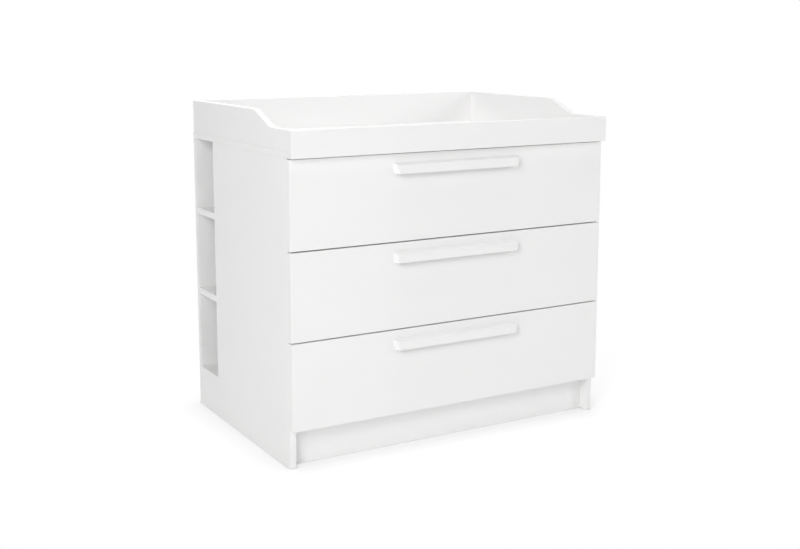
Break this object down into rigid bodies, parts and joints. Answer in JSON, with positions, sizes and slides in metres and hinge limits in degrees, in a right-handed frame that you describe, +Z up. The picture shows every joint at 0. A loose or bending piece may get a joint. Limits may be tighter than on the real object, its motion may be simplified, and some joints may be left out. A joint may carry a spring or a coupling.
{
  "type": "changing dresser",
  "caption": "White changing dresser with full-width drawers on telescopic runners, open niches in both ends and a raised tray on top for a changing mat.",
  "frame": {"origin": "centre of the footprint, handles included, at floor level", "axes": "+X to the right end seen from the front, -Y towards the drawer side where the user stands, +Z up"},
  "size_m": [1.003, 0.698, 0.9305],
  "materials": {
    "white_board": "white lacquered board, satin",
    "box_board": "white melamine-faced board",
    "bottom_sheet": "white-faced hardboard",
    "handle_plastic": "moulded, satin white",
    "runner_steel": "zinc-plated rolled steel",
    "cage_plastic": "moulded, dark grey",
    "fastener_zinc": "zinc-plated",
    "dowel_beech": "plain beech"
  },
  "bodies": {
    "carcass": {"base_brace": "white_board", "bottom_panel": "white_board", "cam_bolts": "fastener_zinc", "cam_locks": "fastener_zinc", "dowels": "dowel_beech", "niche_divider": "white_board", "niche_shelf_lower_left": "white_board", "niche_shelf_lower_right": "white_board", "niche_shelf_upper_left": "white_board", "niche_shelf_upper_right": "white_board", "partition_panel": "white_board", "plinth_front": "white_board", "rear_panel": "white_board", "runner_rails_bottom": "runner_steel", "runner_rails_middle": "runner_steel", "runner_rails_top": "runner_steel", "side_panel_left": "white_board", "side_panel_right": "white_board", "top_panel": "white_board", "top_rail": "white_board", "tray_back": "white_board", "tray_front": "white_board", "tray_screws": "fastener_zinc", "tray_side_left": "white_board", "tray_side_right": "white_board"},
    "outer_cage_bottom": {"runner_outer_cages_bottom": "cage_plastic"},
    "link_bottom": {"runner_links_bottom": "runner_steel"},
    "inner_cage_bottom": {"runner_inner_cages_bottom": "cage_plastic"},
    "drawer_bottom": {"drawer_bottom_back": "box_board", "drawer_bottom_bottom": "bottom_sheet", "drawer_bottom_fasteners": "fastener_zinc", "drawer_bottom_front": "white_board", "drawer_bottom_handle": "handle_plastic", "drawer_bottom_side_left": "box_board", "drawer_bottom_side_right": "box_board", "drawer_bottom_slides": "runner_steel"},
    "outer_cage_middle": {"runner_outer_cages_middle": "cage_plastic"},
    "link_middle": {"runner_links_middle": "runner_steel"},
    "inner_cage_middle": {"runner_inner_cages_middle": "cage_plastic"},
    "drawer_middle": {"drawer_middle_back": "box_board", "drawer_middle_bottom": "bottom_sheet", "drawer_middle_fasteners": "fastener_zinc", "drawer_middle_front": "white_board", "drawer_middle_handle": "handle_plastic", "drawer_middle_side_left": "box_board", "drawer_middle_side_right": "box_board", "drawer_middle_slides": "runner_steel"},
    "outer_cage_top": {"runner_outer_cages_top": "cage_plastic"},
    "link_top": {"runner_links_top": "runner_steel"},
    "inner_cage_top": {"runner_inner_cages_top": "cage_plastic"},
    "drawer_top": {"drawer_top_back": "box_board", "drawer_top_bottom": "bottom_sheet", "drawer_top_fasteners": "fastener_zinc", "drawer_top_front": "white_board", "drawer_top_handle": "handle_plastic", "drawer_top_side_left": "box_board", "drawer_top_side_right": "box_board", "drawer_top_slides": "runner_steel"}
  },
  "joints": [
    {"name": "drawer_bottom_slide", "type": "slide", "parent": "carcass", "child": "drawer_bottom", "axis": [0, -1, 0], "range_m": [0, 0.45]},
    {"name": "outer_cage_bottom_slide", "type": "slide", "parent": "carcass", "child": "outer_cage_bottom", "axis": [0, -1, 0], "range_m": [0, 0.1125]},
    {"name": "link_bottom_slide", "type": "slide", "parent": "carcass", "child": "link_bottom", "axis": [0, -1, 0], "range_m": [0, 0.225]},
    {"name": "inner_cage_bottom_slide", "type": "slide", "parent": "carcass", "child": "inner_cage_bottom", "axis": [0, -1, 0], "range_m": [0, 0.3375]},
    {"name": "drawer_middle_slide", "type": "slide", "parent": "carcass", "child": "drawer_middle", "axis": [0, -1, 0], "range_m": [0, 0.45]},
    {"name": "outer_cage_middle_slide", "type": "slide", "parent": "carcass", "child": "outer_cage_middle", "axis": [0, -1, 0], "range_m": [0, 0.1125]},
    {"name": "link_middle_slide", "type": "slide", "parent": "carcass", "child": "link_middle", "axis": [0, -1, 0], "range_m": [0, 0.225]},
    {"name": "inner_cage_middle_slide", "type": "slide", "parent": "carcass", "child": "inner_cage_middle", "axis": [0, -1, 0], "range_m": [0, 0.3375]},
    {"name": "drawer_top_slide", "type": "slide", "parent": "carcass", "child": "drawer_top", "axis": [0, -1, 0], "range_m": [0, 0.45]},
    {"name": "outer_cage_top_slide", "type": "slide", "parent": "carcass", "child": "outer_cage_top", "axis": [0, -1, 0], "range_m": [0, 0.1125]},
    {"name": "link_top_slide", "type": "slide", "parent": "carcass", "child": "link_top", "axis": [0, -1, 0], "range_m": [0, 0.225]},
    {"name": "inner_cage_top_slide", "type": "slide", "parent": "carcass", "child": "inner_cage_top", "axis": [0, -1, 0], "range_m": [0, 0.3375]}
  ],
  "couplings": [
    {"joint": "outer_cage_bottom_slide", "follows": "drawer_bottom_slide", "ratio": 0.25},
    {"joint": "link_bottom_slide", "follows": "drawer_bottom_slide", "ratio": 0.5},
    {"joint": "inner_cage_bottom_slide", "follows": "drawer_bottom_slide", "ratio": 0.75},
    {"joint": "outer_cage_middle_slide", "follows": "drawer_middle_slide", "ratio": 0.25},
    {"joint": "link_middle_slide", "follows": "drawer_middle_slide", "ratio": 0.5},
    {"joint": "inner_cage_middle_slide", "follows": "drawer_middle_slide", "ratio": 0.75},
    {"joint": "outer_cage_top_slide", "follows": "drawer_top_slide", "ratio": 0.25},
    {"joint": "link_top_slide", "follows": "drawer_top_slide", "ratio": 0.5},
    {"joint": "inner_cage_top_slide", "follows": "drawer_top_slide", "ratio": 0.75}
  ]
}
